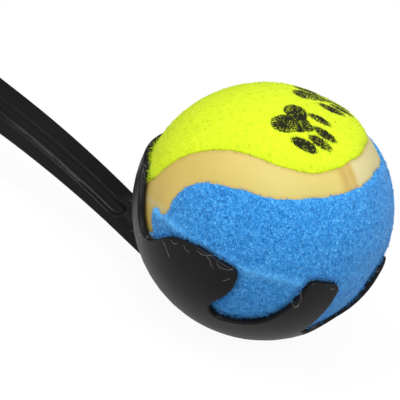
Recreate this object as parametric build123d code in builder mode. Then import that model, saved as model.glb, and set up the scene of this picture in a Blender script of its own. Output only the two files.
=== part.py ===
"""A hand-held dog ball launcher lying on the floor, with a felt ball in its cup.

Millimetres. +X runs from the handle to the cup, +Z is up, and the floor is Z = 0. The origin lies on
the floor under the middle of the launcher's length. The cup's own axis leans forwards by cup_tilt.
"""

import os
from math import acos, atan, atan2, cos, degrees, hypot, pi, radians, sin

from build123d import *

# Ball
ball_radius = 31.0
felt_thickness = 2.4
strip_recess = 0.7
strip_width = 8.0
core_wall = 3.2
bond_thickness = 0.4
lobe_lean = 13.0  # degrees that the middle of each felt lobe leans off the ball's equator
ball_x_shares = (0.364, 0.245, -0.899)  # how the ball lies in the cup, along the cup's own axes
ball_z_shares = (-0.794, -0.423, -0.437)

# Cup
ball_gap = 0.4
cup_wall = 1.8
cup_tilt = 10.0  # degrees
rim_height = 3.0  # top of the fingers, above the ball's middle
back_height = -0.5  # top of the back, above the ball's middle
tip_rounding = 2.6
rim_rounding = 0.45
through_share = 0.9
rim_test_shares = (0, 0.3, 0.7, 1)
cut_near_share = 0.5
cut_far_share = 1.25

# Outlines cut from the cup's wall, as shares of its outer radius, drawn as seen from outside on the
# right-hand side: the first number runs towards the cup's front, the second one up. Angles in degrees.
front_slot_azimuth = 0.0
front_slot_elevation = -18.0
front_slot_shares = ((0.33, 0.55), (0.255, -0.17))
front_slot_low_share = 0.30
side_notch_azimuth = 50.0
side_notch_elevation = -14.0
side_notch_front_shares = ((0.345, 0.50), (0.245, 0.03), (0.105, -0.215), (-0.08, -0.345), (-0.19, -0.375))
side_notch_back_shares = ((-0.265, -0.32), (-0.262, -0.18), (-0.214, -0.01), (-0.23, 0.155), (-0.30, 0.50))
back_dip_azimuth = 112.0
back_dip_elevation = -6.0
back_dip_front_shares = ((1.25, 0.55), (1.25, 0.035), (0.65, 0.045))
back_dip_low_shares = ((0.40, 0.005), (0.22, -0.085), (0.02, -0.27), (-0.07, -0.28), (-0.26, -0.111))
back_dip_back_shares = ((-0.52, 0.085), (-0.85, 0.27), (-0.90, 0.55))

# Arm
neck_back_share = 0.6024  # from the cup's middle back to the arm's start, by the cup's outer radius
neck_drop_share = 0.866  # the same, downwards
neck_slope = 5.3  # degrees, against the cup's own axes
neck_radius = 330.0
neck_turn = 10.0  # degrees
neck_blend = 14.0
arm_length = 240.0
neck_width = 8.6
arm_width = 18.0
neck_depth = 6.5
arm_depth = 12.7
web_radius = 7.0
web_inset = 0.3
edge_rounding = 0.6
groove_start = 11.5
groove_end = 30.0
groove_height = 4.2  # down from the arm's top
groove_depth = 1.2
groove_corner = 4.0
groove_rounding = 1.0
rib_test_share = 0.75

# Handle
collar_width = 24.0
collar_depth = 27.0
collar_length = 5.0
collar_flare = 26.0
tang_width = 12.0
tang_depth = 15.0
tang_corner = 2.0
grip_length = 98.0
grip_width = 26.0
grip_depth = 30.0
grip_swell_share = 0.14
grip_sections = 7
rib_count = 11
rib_pitch = 7.4
rib_width = 3.2
rib_height = 0.6
cap_width = 22.0
cap_depth = 25.0
cap_length = 27.0
cap_rounding = 5.0
socket_depth = 11.0
sleeve_gap = 0.1
hang_hole_radius = 4.0
hang_hole_inset = 10.0
pin_radius = 1.75
pin_gap = 0.05
overrun = 5.0

# The launcher's middle line in its side view, behind the cup's middle and above the floor
cup_inner_radius = ball_radius + ball_gap
cup_outer_radius = cup_inner_radius + cup_wall
tilt = radians(cup_tilt)
neck_angle = radians(cup_tilt + neck_slope)
arm_angle = neck_angle - radians(neck_turn)
neck_length = neck_radius * radians(neck_turn)
full_length = neck_length + arm_length
handle_length = collar_length + grip_length + cap_length
neck_back = neck_back_share * cup_outer_radius
neck_drop = neck_drop_share * cup_outer_radius
neck_x = -neck_back * cos(tilt) - neck_drop * sin(tilt)
neck_z = cup_outer_radius + neck_back * sin(tilt) - neck_drop * cos(tilt)
arm_x = neck_x - neck_radius * (sin(neck_angle) - sin(arm_angle))
arm_z = neck_z + neck_radius * (cos(arm_angle) - cos(neck_angle))
# The handle slopes so that the cap's underside comes down to the floor
rest_length = handle_length - cap_rounding
handle_angle = (arm_z - cap_depth / 2 + arm_length * arm_angle / 2) / (arm_length / 2 + rest_length)
arm_radius = arm_length / (arm_angle + handle_angle)
handle_x = arm_x - arm_radius * (sin(arm_angle) + sin(handle_angle))
handle_z = arm_z + arm_radius * (cos(handle_angle) - cos(arm_angle))
butt_x = handle_x - handle_length * cos(handle_angle)
cup_x = (-butt_x - cup_outer_radius) / 2

# Frames of the cup, the ball and the handle
cup_centre = Vector(cup_x, 0, cup_outer_radius)
cup_frame = Plane(origin=cup_centre, x_dir=(cos(tilt), 0, -sin(tilt)), z_dir=(sin(tilt), 0, cos(tilt)))
handle_frame = Plane(
    origin=(cup_x + handle_x, 0, handle_z),
    x_dir=(0, -1, 0),
    z_dir=(-cos(handle_angle), 0, -sin(handle_angle)),
)
pin_frame = Plane(
    origin=handle_frame.offset(collar_length + grip_length + socket_depth / 2).origin,
    z_dir=(0, 1, 0),
)


def in_cup(shares):
    """A direction given along the cup's own axes, in the launcher's frame."""
    forward, left, up = shares
    return cup_frame.x_dir * forward + cup_frame.y_dir * left + cup_frame.z_dir * up


ball_frame = Plane(origin=cup_centre, x_dir=in_cup(ball_x_shares), z_dir=in_cup(ball_z_shares))


def radial_cut(azimuth, elevation, side, draw):
    """A cut through the cup's wall that narrows to the cup's middle, so it stands square to the wall."""
    across = radians(azimuth) * side
    rise = radians(elevation)
    outward = in_cup((cos(rise) * cos(across), -cos(rise) * sin(across), sin(rise)))
    sideways = in_cup((sin(across), cos(across), 0))
    with BuildPart() as cut:
        for reach_share in (cut_near_share, cut_far_share):
            size = cup_outer_radius * reach_share
            with BuildSketch(Plane(origin=cup_centre + outward * size, x_dir=sideways, z_dir=outward)):
                with BuildLine():
                    draw(size, side)
                make_face()
        loft(ruled=True)
    return cut.part


def scaled(shares, size, side):
    """Outline points at one distance from the cup's middle, mirrored on the left-hand side."""
    return [(across_share * size * side, up_share * size) for across_share, up_share in shares]


def draw_front_slot(size, side):
    right = scaled(front_slot_shares, size, side)
    left = scaled(front_slot_shares, size, -side)
    Polyline(left[1], left[0], right[0], right[1])
    ThreePointArc(right[1], (0, -front_slot_low_share * size), left[1])


def draw_side_notch(size, side):
    front = scaled(side_notch_front_shares, size, side)
    back = scaled(side_notch_back_shares, size, side)
    Spline(front + back)
    Line(back[-1], front[0])


def draw_back_dip(size, side):
    front = scaled(back_dip_front_shares, size, side)
    low = scaled(back_dip_low_shares, size, side)
    back = scaled(back_dip_back_shares, size, side)
    Polyline(front)
    Spline([front[-1]] + low + back[:-1])
    Polyline(back[-2], back[-1], front[0])


neck_pivot = (cup_x + neck_x - neck_radius * sin(neck_angle), neck_z - neck_radius * cos(neck_angle))
arm_pivot = (cup_x + arm_x - arm_radius * sin(arm_angle), arm_z - arm_radius * cos(arm_angle))


def arm_point(station, lift):
    """A point of the side view, a station along the arm's middle line and a lift above it."""
    if station < neck_length:
        pivot, radius, angle = neck_pivot, neck_radius, neck_angle - station / neck_radius
    else:
        pivot, radius, angle = arm_pivot, arm_radius, arm_angle - (station - neck_length) / arm_radius
    return (pivot[0] + (radius + lift) * sin(angle), pivot[1] + (radius + lift) * cos(angle))


def is_rib_top(edge):
    """Whether an edge of the arm runs along its top."""
    middle = edge.position_at(1 / 2)
    pivot, radius = (neck_pivot, neck_radius) if middle.X > cup_x + arm_x else (arm_pivot, arm_radius)
    return hypot(middle.X - pivot[0], middle.Z - pivot[1]) - radius > neck_depth / 2 * rib_test_share


def half_depth(station):
    """Half the arm's depth, which grows towards the handle, fast at first and then slower."""
    grown = 1 - (1 - station / full_length) ** 2
    return (neck_depth + (arm_depth - neck_depth) * grown) / 2


def groove_top(station):
    """Lift of the upper end of the side grooves' cut, clear of the arm's top."""
    return half_depth(station) + overrun


def groove_low(station):
    """Lift of the lower edge of the side grooves."""
    return half_depth(station) - groove_height


def arm_edge(start, end, lift_of):
    """One long edge of the arm, as an arc along the neck and an arc along the rest."""
    stops = (start, neck_length, end)
    for first, last in zip(stops, stops[1:]):
        middle = (first + last) / 2
        ThreePointArc(*[arm_point(station, lift_of(station)) for station in (first, middle, last)])


def is_tip(edge):
    """Whether an edge runs through the wall, from the inside of the cup to the outside."""
    near, far = sorted((edge.position_at(end) - cup_centre).length for end in (0, 1))
    return far - near > cup_wall * through_share


def is_rim(edge):
    """Whether an edge follows the inside or the outside of the cup's wall."""
    reaches = [(edge.position_at(place_share) - cup_centre).length for place_share in rim_test_shares]
    return max(reaches) - min(reaches) < cup_wall * (1 - through_share)


# Cup wall with its fingers
with BuildPart() as cup:
    with Locations(cup_centre):
        Sphere(cup_outer_radius)
        Sphere(cup_inner_radius, mode=Mode.SUBTRACT)
    split(bisect_by=cup_frame.offset(rim_height), keep=Keep.BOTTOM)
    with BuildSketch(cup_frame.offset(back_height)):
        Rectangle(2 * cup_outer_radius, 2 * cup_outer_radius, align=(Align.MAX, Align.CENTER))
    extrude(amount=cup_outer_radius, mode=Mode.SUBTRACT)
    add(radial_cut(front_slot_azimuth, front_slot_elevation, 1, draw_front_slot), mode=Mode.SUBTRACT)
    for side in (1, -1):
        add(radial_cut(side_notch_azimuth, side_notch_elevation, side, draw_side_notch), mode=Mode.SUBTRACT)
        add(radial_cut(back_dip_azimuth, back_dip_elevation, side, draw_back_dip), mode=Mode.SUBTRACT)
    fillet(cup.edges().filter_by(is_tip), tip_rounding)
    fillet(cup.edges().filter_by(is_rim), rim_rounding)


def groove_floors(arm):
    """The upright face of the arm's rib on each side, at the bottom of the grooves."""
    upright = [face for face in arm.faces() if abs(face.normal_at().Y) > through_share]
    return ShapeList(upright).sort_by(lambda face: abs(face.center().Y))[:2]


# Arm, from the cup's wall to the handle's collar
cup_reach = cup_outer_radius - web_inset
side_taper = (arm_width - neck_width) / 2 / (overrun - handle_x)
with BuildPart() as arm:
    with BuildSketch(Plane.XZ) as side_view:
        blend = arm_point(neck_blend, -half_depth(neck_blend))
        blend_angle = atan2(blend[1] - cup_centre.Z, blend[0] - cup_x)
        keel_angle = blend_angle + acos(cup_reach / hypot(blend[0] - cup_x, blend[1] - cup_centre.Z))
        keel = (cup_x + cup_reach * cos(keel_angle), cup_centre.Z + cup_reach * sin(keel_angle))
        with BuildLine():
            arm_edge(0, full_length, half_depth)
            arm_edge(neck_blend, full_length, lambda station: -half_depth(station))
            Polyline(blend, keel, arm_point(0, half_depth(0)))
            end_lift = half_depth(full_length)
            Line(arm_point(full_length, end_lift), arm_point(full_length, -end_lift))
        make_face()
        with Locations((cup_x, cup_centre.Z)):
            Circle(cup_reach)
        fillet(side_view.vertices().sort_by_distance(arm_point(0, half_depth(0)))[0], web_radius)
        with Locations((cup_x, cup_centre.Z)):
            Circle(cup_reach, mode=Mode.SUBTRACT)
    extrude(amount=arm_width, both=True)
    with BuildSketch(Plane.XY):
        with BuildLine():
            Polyline(
                (cup_x, neck_width / 2),
                (cup_x + handle_x - overrun, arm_width / 2),
                (cup_x + handle_x - overrun, -arm_width / 2),
                (cup_x, -neck_width / 2),
                close=True,
            )
        make_face()
    extrude(amount=cup_outer_radius + arm_length, both=True, mode=Mode.INTERSECT)
    fillet(arm.edges().sort_by(Edge.length)[-8:], edge_rounding)
    for side in (1, -1):
        floor_y = -side * (neck_width / 2 - groove_depth + side_taper * cup_x)
        along = (1, side * side_taper, 0)
        with BuildSketch(Plane(origin=(0, floor_y, 0), x_dir=along, z_dir=(side * side_taper, -1, 0))):
            with BuildLine():
                first, last = groove_start, full_length - groove_end
                arm_edge(first, last, groove_top)
                arm_edge(first, last, groove_low)
                for station in (first, last):
                    Line(arm_point(station, groove_top(station)), arm_point(station, groove_low(station)))
            make_face()
            corners = [arm_point(station, groove_low(station)) for station in (first, last)]
            fillet([vertices().sort_by_distance(corner)[0] for corner in corners], groove_corner)
        extrude(amount=side * arm_width, mode=Mode.SUBTRACT)
    fillet([edge for edge in groove_floors(arm).edges() if not is_rib_top(edge)], groove_rounding)
    fillet([edge for edge in groove_floors(arm).edges() if is_rib_top(edge)], edge_rounding)

# The one black moulding: cup, arm, collar and the tang inside the grip
tang_length = collar_length + grip_length + socket_depth - sleeve_gap
flare_station = full_length - collar_flare
flare_width = neck_width + (arm_width - neck_width) * flare_station / full_length
flare_x, flare_z = arm_point(flare_station, 0)
with BuildPart() as launcher:
    add(cup.part)
    add(arm.part)
    with Locations(cup_centre):
        Sphere(cup_inner_radius, mode=Mode.SUBTRACT)
    with BuildSketch(Plane(origin=(flare_x, 0, flare_z), x_dir=(0, -1, 0), z_dir=handle_frame.z_dir)):
        Ellipse(flare_width / 2, half_depth(flare_station))
    with BuildSketch(handle_frame):
        Ellipse(collar_width / 2, collar_depth / 2)
    loft()
    with BuildSketch(handle_frame):
        Ellipse(collar_width / 2, collar_depth / 2)
    extrude(amount=collar_length)
    with BuildSketch(handle_frame):
        RectangleRounded(tang_width, tang_depth, tang_corner)
    extrude(amount=tang_length)
    with BuildSketch(pin_frame):
        Circle(pin_radius + pin_gap)
    extrude(amount=cap_width, both=True, mode=Mode.SUBTRACT)


def grip_share(place):
    """How large the grip's section is at a place from 0 to 1 along it: fullest in the middle."""
    return 1 - grip_swell_share * (1 - sin(pi * place))


# Soft grip over the tang, with raised ribs
grip_frame = handle_frame.offset(collar_length)
with BuildPart() as grip:
    for k in range(grip_sections):
        place = k / (grip_sections - 1)
        with BuildSketch(grip_frame.offset(grip_length * place)):
            Ellipse(grip_width / 2 * grip_share(place), grip_depth / 2 * grip_share(place))
    loft()
    for k in range(rib_count):
        start = grip_length / 2 + (k - (rib_count - 1) / 2) * rib_pitch - rib_width / 2
        swell = grip_share((start + rib_width / 2) / grip_length)
        with BuildSketch(grip_frame.offset(start)):
            Ellipse(grip_width / 2 * swell + rib_height, grip_depth / 2 * swell + rib_height)
        extrude(amount=rib_width)
    with BuildSketch(grip_frame):
        RectangleRounded(tang_width + 2 * sleeve_gap, tang_depth + 2 * sleeve_gap, tang_corner + sleeve_gap)
    extrude(amount=grip_length, mode=Mode.SUBTRACT)

# Hard end cap with the socket for the tang and the hang hole
cap_frame = handle_frame.offset(collar_length + grip_length)
with BuildPart() as end_cap:
    with BuildSketch(cap_frame):
        Ellipse(cap_width / 2, cap_depth / 2)
    extrude(amount=cap_length)
    fillet(end_cap.faces().sort_by(Axis(cap_frame.origin, cap_frame.z_dir))[-1].edges(), cap_rounding)
    with BuildSketch(cap_frame):
        RectangleRounded(tang_width + 2 * sleeve_gap, tang_depth + 2 * sleeve_gap, tang_corner + sleeve_gap)
    extrude(amount=socket_depth, mode=Mode.SUBTRACT)
    with BuildSketch(Plane(origin=cap_frame.offset(cap_length - hang_hole_inset).origin, z_dir=(0, 1, 0))):
        Circle(hang_hole_radius)
    extrude(amount=cap_width, both=True, mode=Mode.SUBTRACT)
    with BuildSketch(pin_frame):
        Circle(pin_radius + pin_gap)
    extrude(amount=cap_width, both=True, mode=Mode.SUBTRACT)

# Cross pin through the cap and the tang
with BuildPart() as cap_pin:
    with BuildSketch(pin_frame):
        Circle(pin_radius)
    extrude(amount=cap_width / 2 - pin_gap, both=True)

# Ball core: two rubber half shells and the cement between them
core_radius = ball_radius - felt_thickness


def core_shell(low, high):
    """The slice of the core's shell between two heights above its equator."""
    with BuildPart() as shell:
        with Locations(ball_frame):
            Sphere(core_radius)
            Sphere(core_radius - core_wall, mode=Mode.SUBTRACT)
        if low is not None:
            split(bisect_by=ball_frame.offset(low), keep=Keep.TOP)
        if high is not None:
            split(bisect_by=ball_frame.offset(high), keep=Keep.BOTTOM)
    return shell.part


# Seam between the felt panels: four arcs that run into each other, each about the middle of a felt lobe
lean = radians(lobe_lean)
lobe_axes = [
    (ball_frame.x_dir * across + ball_frame.y_dir * along) * cos(lean) + ball_frame.z_dir * (up * sin(lean))
    for across, along, up in ((1, 0, -1), (0, 1, 1), (-1, 0, -1), (0, -1, 1))
]
lobe_angle = acos(-sin(lean) ** 2) / 2
lobe_sweep = 180 + 2 * degrees(atan(sin(lean)))
strip_angle = strip_width / 2 / ball_radius


def seam_arc(lobe, inner_radius, outer_radius):
    """The strip's run about one felt lobe, between two radii."""
    axis = lobe_axes[lobe]
    start = lobe_axes[(lobe + 1) % len(lobe_axes) if lobe % 2 else lobe - 1]
    angles = (lobe_angle - strip_angle, lobe_angle, lobe_angle + strip_angle)
    inner = [(inner_radius * cos(angle), inner_radius * sin(angle)) for angle in angles]
    outer = [(outer_radius * cos(angle), outer_radius * sin(angle)) for angle in angles]
    with BuildPart() as arc:
        with BuildSketch(Plane(origin=cup_centre, x_dir=axis, z_dir=axis.cross(start))):
            with BuildLine():
                ThreePointArc(*inner)
                ThreePointArc(*outer)
                Line(inner[0], outer[0])
                Line(inner[-1], outer[-1])
            make_face()
        revolve(axis=Axis(cup_centre, axis), revolution_arc=lobe_sweep)
    return arc.part


with BuildPart() as seam_strip:
    for lobe in range(len(lobe_axes)):
        add(seam_arc(lobe, core_radius, ball_radius - strip_recess))

# The two felt panels, parted by the seam
with BuildPart() as felt:
    with Locations(ball_frame):
        Sphere(ball_radius)
        Sphere(core_radius, mode=Mode.SUBTRACT)
    for lobe in range(len(lobe_axes)):
        add(seam_arc(lobe, core_radius, ball_radius), mode=Mode.SUBTRACT)
felt_panels = felt.solids().sort_by(Axis(cup_centre, ball_frame.z_dir))

pieces = {
    "launcher": launcher.part,
    "grip_sleeve": grip.part,
    "end_cap": end_cap.part,
    "cap_pin": cap_pin.part,
    "core_half_upper": core_shell(bond_thickness / 2, None),
    "core_half_lower": core_shell(None, -bond_thickness / 2),
    "core_bond": core_shell(-bond_thickness / 2, bond_thickness / 2),
    "seam_strip": seam_strip.part,
    "felt_yellow": felt_panels[-1],
    "felt_blue": felt_panels[0],
}
os.makedirs("parts", exist_ok=True)
for name, piece in pieces.items():
    piece.label = name
    export_step(piece, f"parts/{name}.step")
print("panels", len(felt_panels), "butt at", butt_x + cup_x, "handle slope", degrees(handle_angle))
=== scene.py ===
"""Looks of the dog ball launcher: felt ball, seam strip, paw prints, moulded plastic and lint."""

from math import acos, cos, pi, radians, sin

import bmesh
import bpy
import numpy as np
from mathutils import Matrix, Vector, noise
from mathutils.bvhtree import BVHTree


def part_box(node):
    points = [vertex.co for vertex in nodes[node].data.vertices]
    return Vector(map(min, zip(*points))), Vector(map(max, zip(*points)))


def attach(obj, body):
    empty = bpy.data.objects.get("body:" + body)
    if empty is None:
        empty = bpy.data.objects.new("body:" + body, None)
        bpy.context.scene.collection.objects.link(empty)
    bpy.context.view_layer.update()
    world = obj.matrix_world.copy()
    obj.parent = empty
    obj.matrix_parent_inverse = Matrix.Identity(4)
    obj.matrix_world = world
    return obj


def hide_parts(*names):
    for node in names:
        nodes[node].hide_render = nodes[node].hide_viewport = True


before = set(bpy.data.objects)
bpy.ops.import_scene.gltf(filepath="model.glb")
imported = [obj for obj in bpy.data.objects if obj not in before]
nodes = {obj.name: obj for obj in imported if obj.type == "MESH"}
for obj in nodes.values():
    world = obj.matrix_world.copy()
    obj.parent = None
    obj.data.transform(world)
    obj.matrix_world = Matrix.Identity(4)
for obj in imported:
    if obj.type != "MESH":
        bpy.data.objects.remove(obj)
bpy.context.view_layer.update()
scene = bpy.context.scene
scene.view_settings.view_transform = "Standard"

MM = 0.001

# The ball as in the CAD model: its radii in millimetres, the seam's form, two of its axes in the cup's frame
CUP_TILT = radians(10.0)
BALL_RADIUS = 31.0
CORE_RADIUS = 28.6
LOBE_LEAN = radians(13.0)
STRIP_HALF = radians(7.4)
BALL_X = (0.364, 0.245, -0.899)
BALL_Z = (-0.794, -0.423, -0.437)

low_u, high_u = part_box("core_half_upper")
low_l, high_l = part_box("core_half_lower")
BALL_CENTRE = (Vector(np.minimum(low_u, low_l)) + Vector(np.maximum(high_u, high_l))) / 2
CENTRE = np.array(BALL_CENTRE)

# The photograph's camera, solved from the outlines of the cup and the ball: angles, metres and pixels.
# BALL_PIXEL is where the ball's middle is seen
VIEW_AZIMUTH = radians(26.53)
VIEW_ELEVATION = radians(23.21)
VIEW_ROLL = radians(20.0)
VIEW_DISTANCE = 0.650
FOCAL_PIXELS = 2594.7
FRAME_PIXELS = 400.0
BALL_PIXEL = (264.3, 207.9)
SENSOR_WIDTH = 36.0
CLIP_START = 0.01

back = Vector(
    (
        sin(VIEW_AZIMUTH) * cos(VIEW_ELEVATION),
        -cos(VIEW_AZIMUTH) * cos(VIEW_ELEVATION),
        sin(VIEW_ELEVATION),
    )
)
right = Vector((cos(VIEW_AZIMUTH), sin(VIEW_AZIMUTH), 0))
up = back.cross(right)
right, up = (
    right * cos(VIEW_ROLL) + up * sin(VIEW_ROLL),
    up * cos(VIEW_ROLL) - right * sin(VIEW_ROLL),
)
eye = BALL_CENTRE + back * VIEW_DISTANCE


def ray(px, py):
    """Direction from the camera through a point of the photograph."""
    across = (px - BALL_PIXEL[0]) / FOCAL_PIXELS
    down = (py - BALL_PIXEL[1]) / FOCAL_PIXELS
    return (-back + right * across - up * down).normalized()


def on_ball(px, py):
    """Direction from the ball's middle to where a point of the photograph falls on the ball."""
    along = ray(px, py)
    start = back * VIEW_DISTANCE
    middle = start.dot(along)
    room = middle * middle - (start.length_squared - (BALL_RADIUS * MM) ** 2)
    return (start + along * (-middle - max(room, 0) ** 0.5)).normalized()


def add_camera():
    """The camera, aimed so that the ball is seen where the photograph has it."""
    aside = (BALL_PIXEL[0] - FRAME_PIXELS / 2) / FOCAL_PIXELS * VIEW_DISTANCE
    below = (BALL_PIXEL[1] - FRAME_PIXELS / 2) / FOCAL_PIXELS * VIEW_DISTANCE
    aim = BALL_CENTRE - right * aside
    aim += up * below
    backward = (eye - aim).normalized()
    sideways = (right - backward * right.dot(backward)).normalized()
    upward = backward.cross(sideways)
    data = bpy.data.cameras.new("camera")
    data.sensor_width = SENSOR_WIDTH
    data.lens = FOCAL_PIXELS / FRAME_PIXELS * data.sensor_width
    data.clip_start = CLIP_START
    camera = bpy.data.objects.new("camera", data)
    turned = Matrix((sideways, upward, backward)).transposed().to_4x4()
    camera.matrix_world = Matrix.Translation(eye) @ turned
    scene.collection.objects.link(camera)
    scene.camera = camera


add_camera()


class Nodes:
    """Builds one material, node by node."""

    BEVEL_SAMPLES = 6

    def __init__(self, name):
        self.material = bpy.data.materials.new(name)
        self.material.use_nodes = True
        self.tree = self.material.node_tree
        self.shader = self.tree.nodes["Principled BSDF"]
        self.place = None

    def add(self, kind, inputs=None, **settings):
        """A new node with its settings, and with its inputs set or linked."""
        node = self.tree.nodes.new(kind)
        for key, value in settings.items():
            setattr(node, key, value)
        for key, value in (inputs or {}).items():
            self.put(node, key, value)
        return node

    def put(self, node, key, value):
        """Links a socket to a node's input, or sets the input to a constant."""
        if isinstance(value, bpy.types.NodeSocket):
            self.tree.links.new(value, node.inputs[key])
        else:
            node.inputs[key].default_value = value

    def where(self):
        """The place of a point in metres, in the piece's own frame."""
        if self.place is None:
            self.place = self.add("ShaderNodeTexCoord").outputs["Object"]
        return self.place

    def noise(self, scale, detail=3.0, roughness=0.55, distortion=0.0, stretch=None):
        """Noise with a scale per metre; stretch holds the scale and the turn of its grain."""
        vector = self.where()
        if stretch is not None:
            inputs = {"Vector": vector, "Scale": stretch[0], "Rotation": stretch[1]}
            vector = self.add("ShaderNodeMapping", inputs).outputs[0]
        inputs = {"Vector": vector, "Scale": scale, "Detail": detail}
        inputs.update({"Roughness": roughness, "Distortion": distortion})
        return self.add("ShaderNodeTexNoise", inputs).outputs["Fac"]

    def ramp(self, value, low, high, out_low=0.0, out_high=1.0):
        """A smooth step from out_low to out_high while the value goes from low to high."""
        inputs = {"Value": value, "From Min": low, "From Max": high, "To Min": out_low, "To Max": out_high}
        return self.add("ShaderNodeMapRange", inputs, interpolation_type="SMOOTHSTEP").outputs[0]

    def math(self, operation, a, b=None):
        """The outcome of an operation on one or two numbers or sockets."""
        node = self.add("ShaderNodeMath", operation=operation)
        self.put(node, 0, a)
        if b is not None:
            self.put(node, 1, b)
        return node.outputs[0]

    def plus(self, a, b):
        return self.math("ADD", a, b)

    def minus(self, a, b):
        return self.math("SUBTRACT", a, b)

    def times(self, a, b):
        return self.math("MULTIPLY", a, b)

    def mix(self, factor, a, b):
        """A blend of two colours, each a socket or three numbers."""
        node = self.add("ShaderNodeMix", data_type="RGBA", blend_type="MIX")
        self.put(node, 0, factor)
        for key, value in ((6, a), (7, b)):
            self.put(node, key, value if isinstance(value, bpy.types.NodeSocket) else (*value, 1.0))
        return node.outputs[2]

    def attribute(self, name):
        """A number stored for each point of the mesh."""
        return self.add("ShaderNodeAttribute", attribute_name=name).outputs["Fac"]

    def colour(self, value):
        """Sets the shader's colour."""
        self.put(self.shader, "Base Color", value)

    def bump(self, height, distance, strength=1.0, under=None):
        """The normal over a relief, which can lie on another normal."""
        inputs = {"Height": height, "Distance": distance, "Strength": strength}
        if under is not None:
            inputs["Normal"] = under
        return self.add("ShaderNodeBump", inputs).outputs[0]

    def bevel(self, radius):
        """The normal with edges rounded to a radius."""
        return self.add("ShaderNodeBevel", {"Radius": radius}, samples=self.BEVEL_SAMPLES).outputs[0]

    def finish(self, roughness, normal=None, **sockets):
        """Sets the shader's roughness, normal and other sockets, and gives the material back."""
        self.put(self.shader, "Roughness", roughness)
        if normal is not None:
            self.put(self.shader, "Normal", normal)
        for key, value in sockets.items():
            self.put(self.shader, key.replace("_", " "), value)
        return self.material


def scaled(tone, factor):
    """A lighter or darker tone of the same hue."""
    return tuple(t * factor for t in tone)


# The arm's side grooves by the CAD model's side view, in metres: middle and radius of the two arcs of the
# arm's middle line, where they meet, the ends of the arm, half its depth at the neck, how much that grows,
# and the groove's height
NECK_ARC = (0.096975, -0.309945, 0.330)
ARM_ARC = (-0.008644, -1.448479, 1.473422)
ARCS_MEET = 0.127457
ARM_ENDS = (0.18405, -0.11226)
HALF_DEPTH = 0.00325
DEPTH_GROWTH = 0.0031
GROOVE_HEIGHT = 0.0042


def hollow(m):
    """How deep the floor of the arm's side grooves is hollowed: 1 along its middle, 0 at its edges."""
    x, _, z = m.add("ShaderNodeSeparateXYZ", {"Vector": m.where()}).outputs
    lifts = []
    for arc_x, arc_z, radius in (NECK_ARC, ARM_ARC):
        aside = m.math("POWER", m.minus(x, arc_x), 2.0)
        above = m.math("POWER", m.minus(z, arc_z), 2.0)
        lifts.append(m.minus(m.math("SQRT", m.plus(aside, above)), radius))
    on_neck = m.math("GREATER_THAN", x, ARCS_MEET)
    lift = m.plus(lifts[1], m.times(on_neck, m.minus(lifts[0], lifts[1])))
    left = m.math("DIVIDE", m.minus(x, ARM_ENDS[1]), ARM_ENDS[0] - ARM_ENDS[1])
    grown = m.minus(1.0, m.math("POWER", left, 2.0))
    half = m.plus(m.times(grown, DEPTH_GROWTH), HALF_DEPTH)
    down = m.math("DIVIDE", m.minus(half, lift), GROOVE_HEIGHT)
    down = m.math("MAXIMUM", m.math("MINIMUM", down, 1.0), 0.0)
    return m.math("SINE", m.times(down, pi))


# Black plastic: slow changes of tone and gloss, long scuffs, rounded edges and fine grain
PLASTIC_CLOUD = 45.0
PLASTIC_TONES = (0.85, 1.2)
PLASTIC_GLOSS = (0.32, 0.40)
SCUFF_SCALE = 60.0
SCUFF_STRETCH = ((1.0, 6.0, 6.0), (0.0, 0.1, 0.2))
SCUFF_TONE = (0.03, 0.03, 0.032)
SCUFF_SHARE = 0.25
SCUFF_DULLNESS = 0.12
EDGE_ROUNDING = 0.5 * MM
HOLLOW_DEPTH = 0.7 * MM
PLASTIC_RELIEF = 0.03 * MM
PLASTIC_SPECULAR = 0.165
PLASTIC_TINT = (0.97, 0.96, 1.0, 1.0)


def plastic(name, tone, grain, grooved=False):
    """Black moulded plastic: fine spark-eroded grain, slow changes of gloss, light scuffs."""
    m = Nodes(name)
    slow = m.noise(PLASTIC_CLOUD)
    fine = m.noise(grain, detail=2.0)
    scuff = m.noise(SCUFF_SCALE, detail=6.0, roughness=0.7, distortion=1.2, stretch=SCUFF_STRETCH)
    dark, light = (scaled(tone, factor) for factor in PLASTIC_TONES)
    base = m.mix(m.ramp(slow, 0.3, 0.7), dark, light)
    m.colour(m.mix(m.ramp(scuff, 0.66, 0.80, 0.0, SCUFF_SHARE), base, SCUFF_TONE))
    rough = m.plus(m.ramp(slow, 0.25, 0.75, *PLASTIC_GLOSS), m.ramp(scuff, 0.6, 0.8, 0.0, SCUFF_DULLNESS))
    normal = m.bevel(EDGE_ROUNDING)
    if grooved:
        normal = m.bump(m.times(hollow(m), -1.0), HOLLOW_DEPTH, under=normal)
    normal = m.bump(fine, PLASTIC_RELIEF, 0.25, normal)
    return m.finish(rough, normal, Specular_IOR_Level=PLASTIC_SPECULAR, Specular_Tint=PLASTIC_TINT)


# Soft rubber: cloudy tone, a stippled skin and dust
RUBBER_CLOUD = 60.0
RUBBER_TONES = (0.8, 1.25)
RUBBER_ROUGHNESS = (0.62, 0.8)
RUBBER_RELIEF = 0.06 * MM
RUBBER_SPECULAR = 0.4
GRIP_STIPPLE = 2600.0
DUST_SCALE = 220.0
DUST_SHARE = 0.25
DUST_GAIN = 2.2
DUST_LIFT = 0.02


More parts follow.
